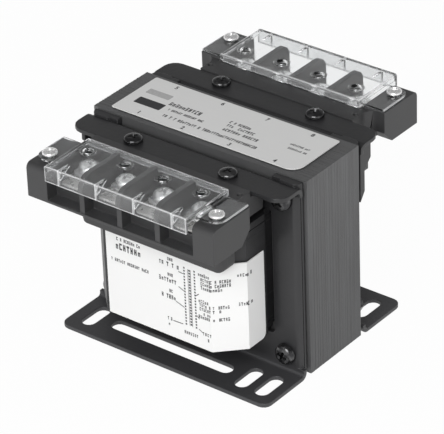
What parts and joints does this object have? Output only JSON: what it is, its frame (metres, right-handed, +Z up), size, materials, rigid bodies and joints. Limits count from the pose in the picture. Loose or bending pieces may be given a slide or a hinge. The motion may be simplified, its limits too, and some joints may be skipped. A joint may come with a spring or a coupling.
{
  "type": "chassis mount transformer",
  "caption": "Control transformer for chassis mounting: laminated core, wound coil, slotted pressed-steel feet and screw terminal blocks under clear covers at both ends.",
  "frame": {"origin": "centre of the footprint, on the plane that the feet stand on", "axes": "+Z up, X along the terminal blocks, the labelled coil end towards -Y"},
  "size_m": [0.0856, 0.1112, 0.075],
  "materials": {
    "lamination_steel": "varnished, dark",
    "bracket_paint": "semi-gloss",
    "block_plastic": "satin",
    "bobbin_plastic": "matte",
    "coil_tape": "matte",
    "cover_clear": "clear",
    "winding_copper": "enamelled",
    "label_paper": "matte",
    "plate_aluminium": "satin",
    "terminal_tin": "tin plated",
    "zinc_steel": "zinc plated",
    "black_steel": "black finish"
  },
  "bodies": {
    "frame": {"core_e_stack": "lamination_steel", "core_i_stack": "lamination_steel", "bobbin": "bobbin_plastic", "primary_winding": "winding_copper", "secondary_winding": "winding_copper", "coil_wrap": "coil_tape", "coil_label": "label_paper", "nameplate": "plate_aluminium", "front_bracket": "bracket_paint", "front_terminal_block": "block_plastic", "front_cover": "cover_clear", "front_cover_screw_left": "zinc_steel", "front_flange_screw_left": "black_steel", "front_cover_screw_right": "zinc_steel", "front_flange_screw_right": "black_steel", "front_terminal_plate_1": "terminal_tin", "front_terminal_plate_2": "terminal_tin", "front_terminal_plate_3": "terminal_tin", "front_terminal_plate_4": "terminal_tin", "rear_bracket": "bracket_paint", "rear_terminal_block": "block_plastic", "rear_cover": "cover_clear", "rear_cover_screw_left": "zinc_steel", "rear_flange_screw_left": "black_steel", "rear_cover_screw_right": "zinc_steel", "rear_flange_screw_right": "black_steel", "rear_terminal_plate_1": "terminal_tin", "rear_terminal_plate_2": "terminal_tin", "rear_terminal_plate_3": "terminal_tin", "rear_terminal_plate_4": "terminal_tin", "core_bolt_lower_left": "black_steel", "core_nut_lower_left": "black_steel", "core_bolt_lower_right": "black_steel", "core_nut_lower_right": "black_steel", "core_bolt_upper_left": "black_steel", "core_nut_upper_left": "black_steel", "core_bolt_upper_right": "black_steel", "core_nut_upper_right": "black_steel", "rear_lead_1": "winding_copper", "rear_lead_2": "winding_copper", "rear_lead_3": "winding_copper", "rear_lead_4": "winding_copper", "front_lead_2": "winding_copper", "front_lead_3": "winding_copper"},
    "front_clamp_1": {"front_clamp_plate_1": "zinc_steel"},
    "front_screw_1": {"front_terminal_screw_1": "zinc_steel"},
    "front_clamp_2": {"front_clamp_plate_2": "zinc_steel"},
    "front_screw_2": {"front_terminal_screw_2": "zinc_steel"},
    "front_clamp_3": {"front_clamp_plate_3": "zinc_steel"},
    "front_screw_3": {"front_terminal_screw_3": "zinc_steel"},
    "front_clamp_4": {"front_clamp_plate_4": "zinc_steel"},
    "front_screw_4": {"front_terminal_screw_4": "zinc_steel"},
    "rear_clamp_1": {"rear_clamp_plate_1": "zinc_steel"},
    "rear_screw_1": {"rear_terminal_screw_1": "zinc_steel"},
    "rear_clamp_2": {"rear_clamp_plate_2": "zinc_steel"},
    "rear_screw_2": {"rear_terminal_screw_2": "zinc_steel"},
    "rear_clamp_3": {"rear_clamp_plate_3": "zinc_steel"},
    "rear_screw_3": {"rear_terminal_screw_3": "zinc_steel"},
    "rear_clamp_4": {"rear_clamp_plate_4": "zinc_steel"},
    "rear_screw_4": {"rear_terminal_screw_4": "zinc_steel"}
  },
  "joints": [
    {"name": "front_clamp_lift_1", "type": "slide", "parent": "frame", "child": "front_clamp_1", "axis": [0, 0, 1], "range_m": [0, 0.0024]},
    {"name": "front_screw_turn_1", "type": "hinge", "parent": "front_clamp_1", "child": "front_screw_1", "pos_m": [-0.02259, -0.0406, 0.0675], "axis": [0, 0, 1], "range_deg": [0, 1080]},
    {"name": "front_clamp_lift_2", "type": "slide", "parent": "frame", "child": "front_clamp_2", "axis": [0, 0, 1], "range_m": [0, 0.0024]},
    {"name": "front_screw_turn_2", "type": "hinge", "parent": "front_clamp_2", "child": "front_screw_2", "pos_m": [-0.00753, -0.0406, 0.0675], "axis": [0, 0, 1], "range_deg": [0, 1080]},
    {"name": "front_clamp_lift_3", "type": "slide", "parent": "frame", "child": "front_clamp_3", "axis": [0, 0, 1], "range_m": [0, 0.0024]},
    {"name": "front_screw_turn_3", "type": "hinge", "parent": "front_clamp_3", "child": "front_screw_3", "pos_m": [0.00753, -0.0406, 0.0675], "axis": [0, 0, 1], "range_deg": [0, 1080]},
    {"name": "front_clamp_lift_4", "type": "slide", "parent": "frame", "child": "front_clamp_4", "axis": [0, 0, 1], "range_m": [0, 0.0024]},
    {"name": "front_screw_turn_4", "type": "hinge", "parent": "front_clamp_4", "child": "front_screw_4", "pos_m": [0.02259, -0.0406, 0.0675], "axis": [0, 0, 1], "range_deg": [0, 1080]},
    {"name": "rear_clamp_lift_1", "type": "slide", "parent": "frame", "child": "rear_clamp_1", "axis": [0, 0, 1], "range_m": [0, 0.0024]},
    {"name": "rear_screw_turn_1", "type": "hinge", "parent": "rear_clamp_1", "child": "rear_screw_1", "pos_m": [0.02259, 0.0406, 0.0675], "axis": [0, 0, 1], "range_deg": [0, 1080]},
    {"name": "rear_clamp_lift_2", "type": "slide", "parent": "frame", "child": "rear_clamp_2", "axis": [0, 0, 1], "range_m": [0, 0.0024]},
    {"name": "rear_screw_turn_2", "type": "hinge", "parent": "rear_clamp_2", "child": "rear_screw_2", "pos_m": [0.00753, 0.0406, 0.0675], "axis": [0, 0, 1], "range_deg": [0, 1080]},
    {"name": "rear_clamp_lift_3", "type": "slide", "parent": "frame", "child": "rear_clamp_3", "axis": [0, 0, 1], "range_m": [0, 0.0024]},
    {"name": "rear_screw_turn_3", "type": "hinge", "parent": "rear_clamp_3", "child": "rear_screw_3", "pos_m": [-0.00753, 0.0406, 0.0675], "axis": [0, 0, 1], "range_deg": [0, 1080]},
    {"name": "rear_clamp_lift_4", "type": "slide", "parent": "frame", "child": "rear_clamp_4", "axis": [0, 0, 1], "range_m": [0, 0.0024]},
    {"name": "rear_screw_turn_4", "type": "hinge", "parent": "rear_clamp_4", "child": "rear_screw_4", "pos_m": [-0.02259, 0.0406, 0.0675], "axis": [0, 0, 1], "range_deg": [0, 1080]}
  ],
  "couplings": [
    {"joint": "front_screw_turn_1", "follows": "front_clamp_lift_1", "rad_per_m": 7853.9},
    {"joint": "front_screw_turn_2", "follows": "front_clamp_lift_2", "rad_per_m": 7853.9},
    {"joint": "front_screw_turn_3", "follows": "front_clamp_lift_3", "rad_per_m": 7853.9},
    {"joint": "front_screw_turn_4", "follows": "front_clamp_lift_4", "rad_per_m": 7853.9},
    {"joint": "rear_screw_turn_1", "follows": "rear_clamp_lift_1", "rad_per_m": 7853.9},
    {"joint": "rear_screw_turn_2", "follows": "rear_clamp_lift_2", "rad_per_m": 7853.9},
    {"joint": "rear_screw_turn_3", "follows": "rear_clamp_lift_3", "rad_per_m": 7853.9},
    {"joint": "rear_screw_turn_4", "follows": "rear_clamp_lift_4", "rad_per_m": 7853.9}
  ]
}
